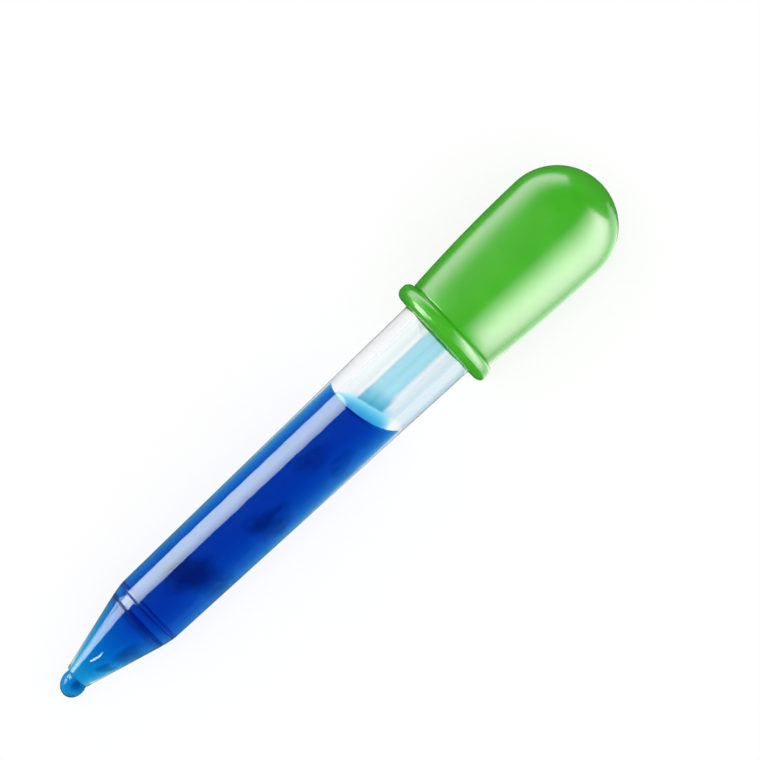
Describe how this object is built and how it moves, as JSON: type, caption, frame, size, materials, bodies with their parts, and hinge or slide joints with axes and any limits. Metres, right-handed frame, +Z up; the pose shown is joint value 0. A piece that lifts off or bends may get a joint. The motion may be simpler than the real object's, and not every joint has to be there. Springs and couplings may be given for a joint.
{
  "type": "dropper pipette",
  "caption": "Dropper pipette: a clear plastic tube drawn to a conical tip, a soft round-ended squeeze bulb on its open end, and a charge of blue liquid with a drop at the mouth.",
  "frame": {"origin": "on the surface that the lying dropper rests on, under the middle of its length", "axes": "+X along the dropper, level, from the tip's end to the bulb's end; +Z up"},
  "size_m": [0.1182, 0.0198, 0.021],
  "materials": {
    "clear_plastic": "clear, polished moulding",
    "green_silicone": "satin silicone",
    "blue_liquid": "wet"
  },
  "bodies": {
    "root": {"dropper_tube": "clear_plastic", "squeeze_bulb": "green_silicone", "blue_liquid": "blue_liquid"}
  },
  "joints": []
}
